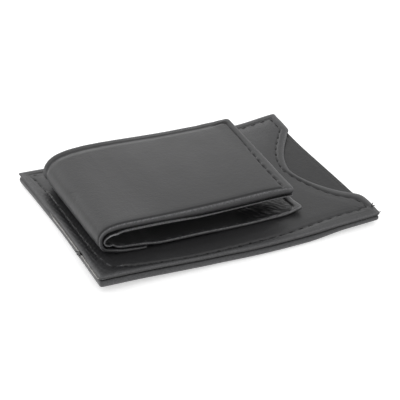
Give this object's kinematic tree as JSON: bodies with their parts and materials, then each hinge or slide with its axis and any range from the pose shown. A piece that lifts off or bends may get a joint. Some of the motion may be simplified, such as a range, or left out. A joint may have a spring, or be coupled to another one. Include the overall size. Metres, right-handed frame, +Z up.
{
  "type": "money clip wallet",
  "caption": "Slim leather card case with a thumb notch pocket, card slots underneath and a folded leather money clip drawn shut by magnets.",
  "frame": {"origin": "under the middle of the card case, at the height of the surface that it lies on", "axes": "+X along the case's long side towards the thumb notch, +Y across it towards the side on which the card slots open, +Z up, out of the clip"},
  "size_m": [0.1, 0.072, 0.0157],
  "materials": {
    "black_leather": "smooth dyed leather with turned and stitched edges",
    "lining_leather": "thin glossy finished leather",
    "lining_fabric": "fine woven lining",
    "leatherboard": "bonded leather fibre board",
    "nickel_magnet": "nickel plated neodymium disc"
  },
  "bodies": {
    "case": {"front_panel": "black_leather", "front_lining": "lining_fabric", "pocket_lining": "lining_fabric", "back_panel": "black_leather", "upper_slot_panel": "black_leather", "upper_slot_lining": "lining_fabric", "lower_slot_panel": "black_leather", "lower_slot_lining": "lining_fabric", "clip_tail": "black_leather", "fold_cover": "black_leather", "fold_lining": "lining_leather", "leg_lining": "lining_leather", "leg_board": "leatherboard", "leg_magnet_front": "nickel_magnet", "leg_magnet_back": "nickel_magnet"},
    "flap": {"flap_cover": "black_leather", "flap_board": "leatherboard", "flap_magnet_front": "nickel_magnet", "flap_magnet_back": "nickel_magnet", "flap_lining": "lining_leather"}
  },
  "joints": [
    {"name": "flap_hinge", "type": "hinge", "parent": "case", "child": "flap", "pos_m": [-0.0454, 0, 0.0099], "axis": [0, -1, 0], "range_deg": [-5, 150], "stiffness_Nm_per_rad": 0.05, "springref_deg": 4.93, "deforming": ["fold_cover", "fold_lining"]}
  ]
}
